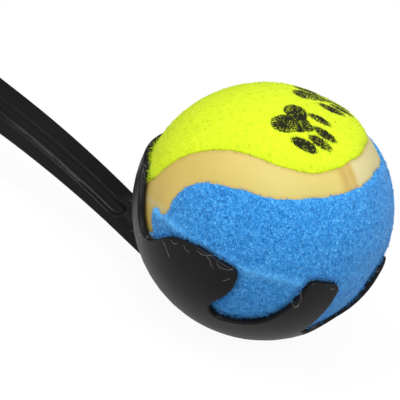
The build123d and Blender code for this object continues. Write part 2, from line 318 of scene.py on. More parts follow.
def rubber(name, tone, stipple=GRIP_STIPPLE):
    """Soft matte rubber with a fine stippled skin."""
    m = Nodes(name)
    slow = m.noise(RUBBER_CLOUD, detail=4.0)
    skin = m.noise(stipple, detail=2.0, roughness=0.6)
    dust = m.noise(DUST_SCALE, detail=5.0, roughness=0.65)
    dark, light = (scaled(tone, factor) for factor in RUBBER_TONES)
    dusty = tuple(min(1.0, t * DUST_GAIN + DUST_LIFT) for t in tone)
    m.colour(m.mix(m.ramp(dust, 0.58, 0.78, 0.0, DUST_SHARE), m.mix(slow, dark, light), dusty))
    rough = m.ramp(slow, 0.3, 0.7, *RUBBER_ROUGHNESS)
    return m.finish(rough, m.bump(skin, RUBBER_RELIEF, 0.5), Specular_IOR_Level=RUBBER_SPECULAR)


# Drawn steel: fine lines along the pin
STEEL_LINES = 900.0
STEEL_STRETCH = ((8.0, 0.4, 8.0), (0.0, 0.0, 0.0))
STEEL_TONES = ((0.42, 0.42, 0.43), (0.62, 0.62, 0.63))
STEEL_ROUGHNESS = (0.25, 0.4)
STEEL_RELIEF = 0.02 * MM


def steel(name):
    """Plain drawn steel."""
    m = Nodes(name)
    lines = m.noise(STEEL_LINES, roughness=0.6, stretch=STEEL_STRETCH)
    m.colour(m.mix(lines, *STEEL_TONES))
    rough = m.ramp(lines, 0.3, 0.7, *STEEL_ROUGHNESS)
    return m.finish(rough, m.bump(lines, STEEL_RELIEF, 0.4), Metallic=1.0)


# Felt: a mat of wool with strands that lie both ways, in tones from dark to light
NOISE_MIDDLE = 0.5
WOOL_SCALE = 1500.0
WOOL_SHARE = 0.5
STRAND_SCALE = 700.0
STRANDS_ACROSS = ((1.0, 3.2, 1.4), (0.5, 0.9, 0.2))
STRANDS_ALONG = ((3.2, 1.0, 1.6), (0.2, 0.4, 1.1))
STRAND_SHARE = 0.25
PATCH_SCALE = 110.0
PATCH_SHARE = 0.2
# How much lighter the blue felt is painted along its ridge: a painted highlight
RIDGE_PAINTED_HIGHLIGHT = 0.4
FELT_RELIEF = 0.35 * MM
FELT_ROUGHNESS = (0.88, 1.0)
FELT_SPECULAR = 0.1
SHEEN_ROUGHNESS = 0.5

# The printed ink: its tone, the fibres' play at its edge, and the flecks where it is worn off
INK_TONE = (0.014, 0.015, 0.006)
INK_EDGE = (-0.2, 0.1)
INK_PLAY = 2.4
FLECK_SCALE = 2900.0
FLECK_SHARE = 0.62
WEAR_SCALE = 330.0
WEAR_SHARE = 0.38
WEAR_RANGE = (0.545, 0.61)
WEAR_DEPTH = 0.8


def felt(name, dark, middle, light, contrast, sheen, relief=0.8, printed=False, ridge_highlight_painted=False):
    """Needled felt: matted fibres in many directions, mottled in tone, with a soft sheen and, where asked, a
    painted highlight along a ridge.
    """
    m = Nodes(name)
    wool = m.noise(WOOL_SCALE, detail=6.0, roughness=0.72, distortion=2.2)
    strands = [
        m.noise(STRAND_SCALE, detail=4.0, roughness=0.65, distortion=1.2, stretch=stretch)
        for stretch in (STRANDS_ACROSS, STRANDS_ALONG)
    ]
    patch = m.noise(PATCH_SCALE)
    fibres = m.plus(m.times(wool, WOOL_SHARE), m.times(m.plus(*strands), STRAND_SHARE))
    low = m.mix(m.ramp(fibres, NOISE_MIDDLE - contrast, NOISE_MIDDLE), dark, middle)
    tone = m.mix(m.ramp(fibres, NOISE_MIDDLE, NOISE_MIDDLE + contrast), low, light)
    tone = m.mix(m.ramp(patch, 0.35, 0.7, 0.0, PATCH_SHARE), tone, middle)
    # Painted highlight: the felt is painted lighter along the ridge where it swells
    if ridge_highlight_painted:
        tone = m.mix(m.times(m.attribute("ridge"), RIDGE_PAINTED_HIGHLIGHT), tone, light)
    if printed:
        edge = m.plus(m.attribute("print"), m.times(m.minus(wool, NOISE_MIDDLE), INK_PLAY))
        fleck = m.noise(FLECK_SCALE, roughness=0.6, distortion=0.6)
        wear = m.noise(WEAR_SCALE, detail=2.0)
        worn = m.ramp(m.plus(m.times(fleck, FLECK_SHARE), m.times(wear, WEAR_SHARE)), *WEAR_RANGE)
        ink = m.times(m.ramp(edge, *INK_EDGE), m.minus(1.0, m.times(worn, WEAR_DEPTH)))
        tone = m.mix(ink, tone, INK_TONE)
    m.colour(tone)
    return m.finish(
        m.ramp(fibres, 0.35, 0.65, *FELT_ROUGHNESS),
        m.bump(fibres, FELT_RELIEF, relief),
        Specular_IOR_Level=FELT_SPECULAR,
        Sheen_Weight=sheen,
        Sheen_Roughness=SHEEN_ROUGHNESS,
    )


# The strip's rubber: its tones to the left and to the right, cloudy, pale, stained by glue, with painted
# shade by the felt's edge, and specked
STRIP_CLOUD = 55.0
STRIP_SPECK = 900.0
STRIP_LEFT_TONE = (0.55, 0.41, 0.10)
STRIP_RIGHT_TONE = (0.565, 0.475, 0.135)
STRIP_CLOUDY = (0.66, 0.48, 0.14)
STRIP_PALE = (0.60, 0.53, 0.265)
STRIP_GLUE = (0.47, 0.31, 0.08)
# Painted shade where the strip meets the felt's edge
STRIP_EDGE_PAINTED_SHADE = (0.50, 0.33, 0.09)
STRIP_SPECKED = (0.42, 0.29, 0.10)
# Width of that painted shade, in millimetres
STRIP_EDGE_SHADE_WIDTH = 1.3
STRIP_ROUGHNESS = (0.5, 0.62)
STRIP_RELIEF = 0.05 * MM
STRIP_SPECULAR = 0.35


def seam_rubber(name):
    """Pale tan vulcanised strip: cloudy, darker with painted shade where it runs under the felt, and stained
    at its splice.
    """
    m = Nodes(name)
    cloud = m.noise(STRIP_CLOUD, roughness=0.5)
    speck = m.noise(STRIP_SPECK, roughness=0.6)
    # The strip's tone runs lighter towards the right of the view
    body = m.mix(m.ramp(m.attribute("rightward"), 0.0, 1.0), STRIP_LEFT_TONE, STRIP_RIGHT_TONE)
    body = m.mix(m.ramp(cloud, 0.35, 0.7, 0.0, 0.35), body, STRIP_CLOUDY)
    body = m.mix(m.attribute("pale"), body, STRIP_PALE)
    body = m.mix(m.attribute("glue"), body, STRIP_GLUE)
    # Painted shade: the strip is painted darker along the felt's edges
    body = m.mix(m.ramp(m.attribute("rim"), 0.0, STRIP_EDGE_SHADE_WIDTH, 0.55, 0.0), body, STRIP_EDGE_PAINTED_SHADE)
    m.colour(m.mix(m.ramp(speck, 0.6, 0.75, 0.0, 0.15), body, STRIP_SPECKED))
    rough = m.ramp(cloud, 0.3, 0.7, *STRIP_ROUGHNESS)
    return m.finish(rough, m.bump(speck, STRIP_RELIEF, 0.4), Specular_IOR_Level=STRIP_SPECULAR)


LINT_CLOUD = 400.0
LINT_TONES = ((0.28, 0.28, 0.26), (0.52, 0.51, 0.48))
LINT_ROUGHNESS = 0.9


def lint(name):
    """Pale dull hairs."""
    m = Nodes(name)
    m.colour(m.mix(m.noise(LINT_CLOUD, detail=2.0), *LINT_TONES))
    return m.finish(LINT_ROUGHNESS)


# The ball's axes in the part's frame, one to a row
cup_axes = np.array(((cos(CUP_TILT), 0, -sin(CUP_TILT)), (0, 1, 0), (sin(CUP_TILT), 0, cos(CUP_TILT))))
axis_z = np.array(BALL_Z) @ cup_axes
axis_z /= np.linalg.norm(axis_z)
axis_x = np.array(BALL_X) @ cup_axes
axis_x -= axis_z * (axis_x @ axis_z)
axis_x /= np.linalg.norm(axis_x)
axis_y = np.cross(axis_z, axis_x)
ball_axes = np.array((axis_x, axis_y, axis_z))


def apart(directions, spots):
    """Angles from each direction to one spot of the ball, or to each of several."""
    return np.arccos(np.clip(directions @ spots.T, -1, 1))


def seam_angle(directions):
    """Angle from the seam's middle line, above 0 on the yellow side."""
    p = directions @ ball_axes.T
    c, s = cos(LOBE_LEAN), sin(LOBE_LEAN)
    blue_lobe = np.arccos(np.clip(np.abs(p[:, 1]) * c + p[:, 2] * s, -1, 1))
    yellow_lobe = np.arccos(np.clip(np.abs(p[:, 0]) * c - p[:, 2] * s, -1, 1))
    spread = acos(-s * s) / 2
    # Great circles through neighbouring lobes part the upper side, ruled by the blue lobes, from the lower
    side = p[:, 2] * c - np.abs(p[:, 1]) * s + np.abs(p[:, 0]) * s
    return np.where(side > 0, blue_lobe - spread, spread - yellow_lobe)


# Where the strip on the real ball runs wider, narrower or to one side: points of the photograph and degrees
YELLOW_EDGE = (
    (142, 186, 22.0), (142, 196, 20.0), (143, 206, 16.0), (145, 216, 12.0), (147, 226, 10.0),
    (146, 184, 8.4), (147, 190, 8.0), (148, 197, 6.0), (149, 204, 4.0), (157, 172, 2.3),
    (171, 161, 1.2), (189, 153, 0.5), (210, 149, 0.3), (230, 149, 0.4), (246, 153, 0.0),
    (259, 156, 0.6), (273, 163, -0.3), (287, 167, -0.5), (301, 171, -1.3), (317, 173, -1.8),
    (335, 170, -0.5), (350, 164, 0.9), (362, 154, 0.8), (368, 143, -2.0), (369, 134, -6.1),
)
BLUE_EDGE = (
    (167, 211, -4.0), (171, 202, -2.4), (178, 193, -1.1), (189, 185, 0.0), (201, 182, -0.1),
    (216, 184, -1.4), (230, 189, -2.7), (246, 191, -1.3), (259, 196, -1.5), (273, 199, -1.1),
    (291, 199.5, 0.3), (309, 197, 2.2), (326, 196, 2.7), (339, 193, 3.4), (353, 187, 4.3),
    (367, 182, 4.4), (375, 177, 5.5), (380, 172, 2.5), (382, 165, -1.6), (151, 205, 9.6),
    (154, 207, 6.6), (157, 209, 3.0), (160, 212, 0.5), (164, 211, -7.5), (151.5, 212, 6.6),
    (152.5, 220, 4.2), (155, 228, 0.6),
)
EDGE_REACH = 5.0
# The seam's run under the two front fingers
FRONT_RUN = ((303, 327, 36.0), (318, 319, 36.0), (334, 308, 34.0), (349, 295, 26.0))
FRONT_REACH = 13.0
REACH_FADE = 0.2


def spread_values(directions, marks, reach):
    """Values given at points of the ball, smoothed out over it and fading to 0 away from them."""
    centres = np.array([on_ball(x, y) for x, y, _ in marks])
    values = np.array([value for _, _, value in marks])
    weights = np.exp(-((apart(directions, centres) / radians(reach)) ** 2))
    return (weights @ values) / (weights.sum(1) + REACH_FADE)


def edge_shift(directions, marks):
    """How far the strip's edge lies off its even run, in degrees."""
    return spread_values(directions, marks, EDGE_REACH) + spread_values(directions, FRONT_RUN, FRONT_REACH)


GRID_LEVEL = 7


def sphere_grid():
    """An even grid of triangles on the unit sphere."""
    bm = bmesh.new()
    bmesh.ops.create_icosphere(bm, subdivisions=GRID_LEVEL, radius=1.0)
    bm.verts.ensure_lookup_table()
    points = np.array([v.co for v in bm.verts])
    faces = np.array([[v.index for v in f.verts] for f in bm.faces])
    bm.free()
    return points / np.linalg.norm(points, axis=1, keepdims=True), faces


RIPPLE_STEPS = (7.31, 3.17, 5.53)


def ripple(directions, size, seed):
    """Smooth noise on the ball, about -1 to 1, with features of a size in millimetres."""
    scale = BALL_RADIUS / size
    shift = Vector([seed * step for step in RIPPLE_STEPS])
    return np.array([noise.noise(Vector(d) * scale + shift) for d in directions])


# Points nearer to the cut than this share of a mesh edge move onto it
SNAP_SHARE = 0.3


def snap(points, faces, level):
    """Moves the points close to the cut onto it, so that it leaves no thin slivers."""
    sides = np.vstack((faces[:, :2], faces[:, 1:], faces[:, ::2]))
    edges = np.unique(np.sort(sides, axis=1), axis=0)
    for a, b in edges[level[edges[:, 0]] * level[edges[:, 1]] < 0]:
        if level[a] * level[b] >= 0:
            continue
        share = level[a] / (level[a] - level[b])
        for near, far, part in ((a, b, share), (b, a, 1 - share)):
            if part < SNAP_SHARE:
                points[near] += (points[far] - points[near]) * part
                points[near] /= np.linalg.norm(points[near])
                level[near] = 0.0
                break


def clip(points, faces, level):
    """Keeps the part of a spherical mesh where level is above 0, with new points along the edge."""
    points = points.copy()
    level = level.copy()
    snap(points, faces, level)
    made = {}
    extra = []
    signs = level[faces]
    inside = (signs >= 0).all(1) & (signs > 0).any(1)
    kept = faces[inside].tolist()
    for face in faces[(signs > 0).any(1) & (signs < 0).any(1)]:
        polygon = []
        for a, b in zip(face, np.roll(face, -1)):
            if level[a] >= 0:
                polygon.append(int(a))
            if level[a] * level[b] < 0:
                key = (min(a, b), max(a, b))
                if key not in made:
                    share = level[a] / (level[a] - level[b])
                    point = points[a] + (points[b] - points[a]) * share
                    made[key] = len(points) + len(extra)
                    extra.append(point / np.linalg.norm(point))
                polygon.append(made[key])
        kept.append(polygon)
    if extra:
        points = np.vstack((points, extra))
    used = np.unique(np.concatenate([np.asarray(f) for f in kept]))
    index = -np.ones(len(points), dtype=int)
    index[used] = np.arange(len(used))
    return points[used], [[int(index[v]) for v in f] for f in kept]


def new_object(name, points, faces, material, body):
    """A smooth-shaded piece that rides on a body."""
    mesh = bpy.data.meshes.new(name)
    mesh.from_pydata([tuple(p) for p in points], [], faces)
    mesh.validate()
    mesh.polygons.foreach_set("use_smooth", [True] * len(mesh.polygons))
    mesh.materials.append(material)
    piece = bpy.data.objects.new(name, mesh)
    scene.collection.objects.link(piece)
    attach(piece, body)
    return piece


# The inner face of the felt and the strip, just clear of the core
SKIN_FLOOR = CORE_RADIUS + 0.05


def shell(name, directions, faces, outer, material):
    """A closed skin on the ball: an outer face, an inner face and the walls between their borders."""
    count = len(directions)
    points = np.vstack((directions * (outer * MM)[:, None], directions * (SKIN_FLOOR * MM))) + CENTRE
    seen = {}
    for face in faces:
        for a, b in zip(face, face[1:] + face[:1]):
            seen[(a, b)] = True
    walls = [[b, a, a + count, b + count] for a, b in seen if (b, a) not in seen]
    under = [[v + count for v in reversed(face)] for face in faces]
    return new_object(name, points, faces + under + walls, material, "ball")


def give(piece, name, values):
    """Stores one number per point for the material; the inner face repeats the outer one."""
    values = np.concatenate((values, values)).astype(np.float32)
    piece.data.attributes.new(name, "FLOAT", "POINT").data.foreach_set("value", values)


launcher_tree = BVHTree.FromObject(nodes["launcher"], bpy.context.evaluated_depsgraph_get())
CUP_REACH = 34.5 * MM
COVER_ROUNDS = 4
COVER_GAIN = 1.6


def under_cup(directions):
    """1 where the cup's wall lies over the ball, 0 elsewhere."""
    hits = (launcher_tree.ray_cast(BALL_CENTRE, Vector(d), CUP_REACH)[0] for d in directions)
    return np.array([0.0 if hit is None else 1.0 for hit in hits])


def smoothed(values, faces, rounds):
    """Evens out numbers over a mesh."""
    sides = np.vstack([np.array([f[:2], f[1:3], (f[0], f[-1])]) for f in faces])
    edges = np.unique(np.sort(sides, axis=1), axis=0)
    degree = np.zeros(len(values))
    np.add.at(degree, edges.ravel(), 1)
    for _ in range(rounds):
        total = np.zeros(len(values))
        np.add.at(total, edges[:, 0], values[edges[:, 1]])
        np.add.at(total, edges[:, 1], values[edges[:, 0]])
        values = 0.5 * values + 0.5 * total / np.maximum(degree, 1)
    return values


def cover(directions, faces):
    """How far the cup covers each point: 1 well under its wall, 0 away from it."""
    return smoothed(under_cup(directions), faces, COVER_ROUNDS)


def freedom(covered):
    """1 where the skin may stand out freely, 0 under the cup's wall."""
    return np.clip(1 - covered * COVER_GAIN, 0, 1)


# One paw print, in millimetres over the felt: middle, half sizes and turn of each blot of the pad, then
# of each toe
PAW = (
    (-3.8, -1.4, 3.5, 2.9, 20.0), (-2.8, 3.7, 3.0, 2.8, -20.0),
    (-1.1, 0.4, 3.0, 2.9, 0.0), (1.0, 0.5, 2.0, 1.5, 0.0),
    (3.2, 5.2, 3.1, 1.2, 4.0), (5.9, 1.3, 3.2, 1.35, -2.0),
    (5.9, -1.9, 3.3, 1.35, 0.0), (2.6, -5.0, 3.5, 1.6, 1.0),
)
# The two prints, by points of the photograph: where each lies and where it points
PAW_PLACES = (((301.2, 127.1), (328.8, 143.4)), ((318.5, 99.5), (346.5, 116.5)))
OUTSIDE_PRINT = -5.0
TINY = 1e-9


def heading(spot, ahead):
    """The direction along the ball's face at a spot that leads to a point ahead of it."""
    forward = ahead - spot * (ahead @ spot)
    return forward / np.linalg.norm(forward)


def print_depth(directions):
    """How far inside a paw print each point lies, in millimetres; below 0 outside."""
    depth = np.full(len(directions), OUTSIDE_PRINT)
    for middle, ahead in PAW_PLACES:
        centre = np.array(on_ball(*middle))
        forward = heading(centre, np.array(on_ball(*ahead)))
        sideways = np.cross(centre, forward)
        away = apart(directions, centre)
        flat = directions - np.outer(directions @ centre, centre)
        flat *= (BALL_RADIUS * away / np.maximum(np.linalg.norm(flat, axis=1), TINY))[:, None]
        x, y = flat @ forward, flat @ sideways
        for at_x, at_y, half_x, half_y, turn in PAW:
            c, s = cos(radians(turn)), sin(radians(turn))
            u = ((x - at_x) * c + (y - at_y) * s) / half_x
            v = ((y - at_y) * c - (x - at_x) * s) / half_y
            depth = np.maximum(depth, (1 - np.hypot(u, v)) * min(half_x, half_y))
    return depth


# The ridge where the felt swells between the cup's side and its front finger, by points of the photograph;
# the blue felt also gets a painted highlight along it
RIDGE = (
    (150, 204), (163, 215), (176, 227), (190, 238), (205, 248), (222, 258),
    (240, 268), (258, 273), (275, 277), (292, 281), (303, 284),
)
RIDGE_STEPS = 8
RIDGE_WIDTH = 1.2


def ridge_height(directions):
    """1 along the ridge and 0 away from it."""
    spots = []
    for (x0, y0), (x1, y1) in zip(RIDGE, RIDGE[1:]):
        for k in range(RIDGE_STEPS):
            spots.append(on_ball(x0 + (x1 - x0) * k / RIDGE_STEPS, y0 + (y1 - y0) * k / RIDGE_STEPS))
    nearest = np.max(directions @ np.array(spots).T, axis=1)
    return np.exp(-((np.arccos(np.clip(nearest, -1, 1)) * BALL_RADIUS / RIDGE_WIDTH) ** 2))


# Where the fuller side begins, to the right and from below in the photograph, and over what run it comes in
BULGE_RIGHT = (0.45, 0.3)
BULGE_UP = (-0.5, 0.25)


def bulge(directions):
    """1 on the side where the ball stands a little fuller, 0 elsewhere."""
    share = np.clip((directions @ np.array(right) - BULGE_RIGHT[0]) / BULGE_RIGHT[1], 0, 1)
    share = share * np.clip((directions @ np.array(up) - BULGE_UP[0]) / BULGE_UP[1], 0, 1)
    return share * share * (3 - 2 * share)


# The felt in millimetres: its face's radius in the cup, what it gains in the open, the heights and sizes of
# its nap and swellings, its edge's radius, over what run the lip rises from there, and the edge's raggedness
FELT_FACE = 31.08
FELT_GAIN = 0.42
NAP = ((0.10, 1.1), (0.05, 0.55))
NAP_IN_CUP = 0.35
SWELL = (0.3, 9.0)
SWELL_SHARE = 0.3
RIDGE_RISE = 0.4
FELT_BULGE = 0.85
FELT_EDGE = 30.92
EDGE_BULGE = 0.7
YELLOW_LIP = 3.0
BLUE_LIP = 1.1
RAG_SIZES = (1.3, 0.6)
RAG_FINE_SHARE = 0.7


def edge_distance(directions, sign, edge_marks):
    """Angle from the strip's edge into a panel, in degrees; sign is 1 for yellow and -1 for blue."""
    turn = np.degrees(seam_angle(directions)) - edge_shift(directions, edge_marks)
    return sign * turn - np.degrees(STRIP_HALF)


def arc_length(degrees):
    """Length along the ball's face, in millimetres."""
    return degrees * BALL_RADIUS * pi / 180


def felt_panel(name, sign, edge_marks, raggedness, material, seed):
    """One felt panel with ragged edge, rounded lip and napped face, and what its fibres need to know."""
    directions, faces = sphere_grid()
    level = edge_distance(directions, sign, edge_marks)
    rag = ripple(directions, RAG_SIZES[0], seed)
    rag += RAG_FINE_SHARE * ripple(directions, RAG_SIZES[1], seed + 1)
    directions, faces = clip(directions, faces, level + raggedness * rag)
    depth = arc_length(np.maximum(edge_distance(directions, sign, edge_marks), 0))
    covered = cover(directions, faces)
    free = freedom(covered)
    (coarse, coarse_size), (fine, fine_size) = NAP
    nap = coarse * ripple(directions, coarse_size, seed + 2)
    nap += fine * ripple(directions, fine_size, seed + 3)
    swell = SWELL[0] * ripple(directions, SWELL[1], seed + 4)
    full = FELT_FACE + free * (FELT_GAIN + SWELL_SHARE * swell)
    full += nap * (NAP_IN_CUP + (1 - NAP_IN_CUP) * free)
    ridge = ridge_height(directions)
    full += free * RIDGE_RISE * ridge
    full += free * FELT_BULGE * bulge(directions)
    if sign > 0:
        lip = np.sin(np.clip(depth / YELLOW_LIP, 0, 1) * pi / 2)
    else:
        lip = np.sqrt(np.clip(1 - (1 - np.clip(depth / BLUE_LIP, 0, 1)) ** 2, 0, 1))
    base = FELT_EDGE + EDGE_BULGE * free * bulge(directions)
    outer = base + (full - base) * lip
    piece = shell(name, directions, faces, outer, material)
    if sign > 0:
        give(piece, "print", print_depth(directions))
    else:
        # The ridge also drives the blue felt's painted highlight
        give(piece, "ridge", ridge)
    return piece, directions, outer, depth, covered


YELLOW = ((0.46, 0.60, 0.010), (0.61, 0.765, 0.018), (0.74, 0.87, 0.035))
BLUE = ((0.004, 0.08, 0.30), (0.024, 0.25, 0.66), (0.145, 0.53, 0.95))
BLUE_FUZZ = ((0.02, 0.20, 0.56), (0.06, 0.36, 0.80), (0.20, 0.60, 0.98))
YELLOW_RAG = 0.42
BLUE_RAG = 0.45
felt_yellow_look = felt("felt_yellow", *YELLOW, contrast=0.13, sheen=0.04, relief=0.45, printed=True)
felt_blue_look = felt("felt_blue", *BLUE, contrast=0.085, sheen=0.14, ridge_highlight_painted=True)
yellow, *yellow_felt = felt_panel(
    "felt_yellow_nap", 1, YELLOW_EDGE, YELLOW_RAG, felt_yellow_look, seed=11
)
blue, *blue_felt = felt_panel("felt_blue_nap", -1, BLUE_EDGE, BLUE_RAG, felt_blue_look, seed=23)
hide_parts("felt_yellow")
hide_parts("felt_blue")

# The strip in millimetres: its rim's radius, its camber and over what run that rises, its waves' height and
# size; then by how many degrees it reaches under the felt
STRIP_FACE = 30.78
STRIP_CAMBER = (0.12, 3.0)
STRIP_WAVE = (0.03, 5.0)
STRIP_WAVE_SEED = 31
UNDERLAP = 1.2

# The strip's splice, by points of the photograph: a place on it and a place past it. Then in millimetres:
# how far from it the glue and the pale end are seen, the pale end's start and run, and the stains' shares,
# distances before the splice and widths
SPLICE = (352.5, 174)
PAST_SPLICE = (375.5, 166)
GLUE_REACH = 9.0
PALE_REACH = 22
PALE_START = 0.3
PALE_RUN = 0.8
STAIN_BROAD = (0.45, 2.4, 3.4)
STAIN_LINES = ((0.75, 3.6, 1.2), (0.6, 0.8, 0.8))

# The strip's pale lip at its left end, by points of the photograph, and its width in millimetres
PALE_LIP = ((147, 198), (149, 200), (152, 203), (155, 205), (158, 207), (161, 209), (164, 212))
PALE_LIP_WIDTH = 0.9

# How far the strip's tone has moved from its left tone to its right tone in the middle of the photograph,
# and how much that grows to the right
RIGHTWARD_MIDDLE = 0.75
RIGHTWARD_GROWTH = 0.9


def strip_depth(directions):
    """Angle from the nearer edge into the strip, in degrees, with what lies under the felt."""
    half = np.degrees(STRIP_HALF) + UNDERLAP
    angle = np.degrees(seam_angle(directions))
    from_yellow = half - (angle - edge_shift(directions, YELLOW_EDGE))
    from_blue = half + (angle - edge_shift(directions, BLUE_EDGE))
    return np.minimum(from_yellow, from_blue)


def splice_marks(directions):
    """Shares of the pale end and of the glue's stain at each point."""
    splice = np.array(on_ball(*SPLICE))
    across = heading(splice, np.array(on_ball(*PAST_SPLICE)))
    past = directions @ across * BALL_RADIUS
    gap = apart(directions, splice) * BALL_RADIUS
    pale = np.clip((past + PALE_START) / PALE_RUN, 0, 1) * (gap < PALE_REACH)
    share, place, width = STAIN_BROAD
    stain = share * np.clip(1 - np.abs(past + place) / width, 0, 1)
    for share, place, width in STAIN_LINES:
        stain += share * np.exp(-(((past + place) / width) ** 2))
    return pale, np.exp(-((gap / GLUE_REACH) ** 2)) * np.clip(stain, 0, 1)


def seam_piece():
    """The cream strip between the two panels, with its splice."""
    directions, faces = sphere_grid()
    directions, faces = clip(directions, faces, strip_depth(directions))
    rim = arc_length(strip_depth(directions) - UNDERLAP)
    free = freedom(cover(directions, faces))
    outer = STRIP_FACE + STRIP_CAMBER[0] * np.clip(rim / STRIP_CAMBER[1], 0, 1)
    outer += STRIP_WAVE[0] * ripple(directions, STRIP_WAVE[1], STRIP_WAVE_SEED)
    outer += EDGE_BULGE * free * bulge(directions)
    look = seam_rubber("seam_strip")
    piece = shell("seam_strip_rubber", directions, faces, outer, look)
    pale, glue = splice_marks(directions)
    for spot in PALE_LIP:
        gap = apart(directions, np.array(on_ball(*spot))) * BALL_RADIUS
        pale = np.maximum(pale, np.exp(-((gap / PALE_LIP_WIDTH) ** 2)))
    give(piece, "rim", rim)
    give(piece, "pale", pale)
    give(piece, "glue", glue)
    give(piece, "rightward", np.clip(RIGHTWARD_MIDDLE + directions @ np.array(right) * RIGHTWARD_GROWTH, 0, 1))
    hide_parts("seam_strip")


seam_piece()

# A fibre's form: sides, where along it the bend lies, and how thick it still is there
FIBRE_SIDES = 3
BEND_AT = 0.55
BEND_THICKNESS = 0.8


def fibre_mesh(roots, tips, sags, widths):
    """Thin three-sided hairs, each bent once and closed at its root."""
    points = []
    faces = []
    turns = [2 * pi * k / FIBRE_SIDES for k in range(FIBRE_SIDES)]
    for root, tip, sag, width in zip(roots, tips, sags, widths):
        start = len(points)
        bent = start + FIBRE_SIDES
        along = tip - root
        side = np.cross(along, sag)
        side /= np.linalg.norm(side)
        lift = np.cross(side, along)
        lift /= np.linalg.norm(lift)
        bend = root + along * BEND_AT + sag
        for centre, size in ((root, width), (bend, width * BEND_THICKNESS)):
            for turn in turns:
                points.append(centre + (side * cos(turn) + lift * sin(turn)) * size / 2)
        points.append(tip)
        for k in range(FIBRE_SIDES):
            n = (k + 1) % FIBRE_SIDES
            faces.append([start + k, start + n, bent + n, bent + k])
            faces.append([bent + k, bent + n, bent + FIBRE_SIDES])
        faces.append([start + 2, start + 1, start])
    return np.array(points), faces


# Loose fibres, in millimetres and radians: length, thickness, lean out of the felt, how deep they root,
# their sag as a share of their length, and how they crowd, stretch and lean by the seam and by the cup
FIBRE_LENGTH = (0.5, 1.3)
FIBRE_THICKNESS = (0.07, 0.13)
FIBRE_LEAN = (0.02, 0.2)
FIBRE_ROOT = 0.12
FIBRE_SAG = 0.12
SEAM_CROWD_ZONE = 1.0
SEAM_CROWD = 2.0
SEAM_ZONE = 1.2
SEAM_STRETCH = 0.7
CUP_ZONE = 0.04
CUP_CROWD = 4.0
CUP_STRETCH = 1.6
CUP_LEAN_GAIN = 4.0
CUP_LEAN = 0.1


def loose_fibres(name, places, outer, depth, covered, count, stretch, material, slot, seed):
    """Fibres on a felt panel where it is open: shorter by the seam, longer and steeper by the cup."""
    rng = np.random.default_rng(seed)
    open_felt = under_cup(places) < 0.5
    crowding = 1.0 + SEAM_CROWD * (depth < SEAM_CROWD_ZONE) + CUP_CROWD * (covered > CUP_ZONE)
    weight = np.where(open_felt, 1.0, 0.0) * crowding
    chosen = rng.choice(len(places), count, p=weight / weight.sum())
    out = places[chosen]
    tangent = rng.normal(size=(count, 3))
    tangent -= out * (tangent * out).sum(1)[:, None]
    tangent /= np.linalg.norm(tangent, axis=1)[:, None]
    length = rng.uniform(*FIBRE_LENGTH, count)[:, None] * MM
    lean = rng.uniform(*FIBRE_LEAN, count)[:, None]
    by_seam = depth[chosen][:, None] < SEAM_ZONE
    by_cup = covered[chosen][:, None] > CUP_ZONE
    in_open = np.where(by_seam, length * SEAM_STRETCH, length * stretch)
    length = np.where(by_cup, length * CUP_STRETCH, in_open)
    lean = np.where(by_cup, lean * CUP_LEAN_GAIN + CUP_LEAN, lean)
    roots = CENTRE + out * ((outer[chosen] - FIBRE_ROOT) * MM)[:, None]
    tips = roots + (tangent * np.cos(lean) + out * np.sin(lean)) * length
    sags = out * length * FIBRE_SAG
    points, faces = fibre_mesh(roots, tips, sags, rng.uniform(*FIBRE_THICKNESS, count) * MM)
    return new_object(name, points, faces, material, "ball")


YELLOW_FIBRES = 4000
BLUE_FIBRES = 9000
fuzz_yellow_look = felt("fuzz_yellow", *YELLOW, contrast=0.16, sheen=0.04)
fuzz_blue_look = felt("fuzz_blue", *BLUE_FUZZ, contrast=0.16, sheen=0.12)
loose_fibres("felt_yellow_fuzz", *yellow_felt, YELLOW_FIBRES, 1.0, fuzz_yellow_look, "felt_yellow", seed=5)
loose_fibres("felt_blue_fuzz", *blue_felt, BLUE_FIBRES, 1.5, fuzz_blue_look, "felt_blue", seed=6)

# Lint caught on the cup: where a hair starts in the photograph, its heading in degrees and its length in
# millimetres
LINT = (
    (131, 230, 10, 6.0), (146, 236, 40, 4.6), (163, 240, 70, 4.6), (172, 240, 100, 2.6),
    (184, 245, 60, 2.4), (197, 250, 35, 5.0), (207, 256, 45, 3.6), (217, 262, 85, 5.0),
    (302, 291, 95, 6.5), (299, 305, 110, 3.4), (149, 165, 250, 2.6), (151, 157, 230, 2.2),
    (146, 168, 260, 2.2), (153, 148, 240, 3.0), (149, 152, 280, 2.2), (155, 143, 225, 2.4),
    (158, 139, 250, 2.0), (330, 288, 60, 2.0), (341, 305, 130, 2.2), (145, 172, 300, 3.0),
    (147, 166, 330, 2.6), (144, 178, 280, 2.4), (150, 160, 310, 2.8), (152, 153, 345, 2.6),
    (148, 163, 20, 2.2), (154, 147, 330, 2.6), (156, 143, 300, 2.2), (143, 182, 330, 2.0),
    (146, 170, 15, 2.0), (139, 233, 20, 5.0), (150, 238, 25, 4.0), (157, 239, 80, 3.0),
    (141, 238, 340, 3.0), (230, 278, 120, 2.4),
)
# A hair in millimetres: half its thickness, how high it floats and how much that waves along it. Then its
# steps, and how it curls from step to step
LINT_RADIUS = 0.019
LINT_FLOAT = 0.05
LINT_WAVE = 0.2
LINT_WAVE_STEP = 1.3
LINT_STEPS = 8
LINT_FIRST_CURL = 0.5
LINT_CURL_KEPT = 0.5
LINT_CURL = 0.22
LINT_SEED = 9


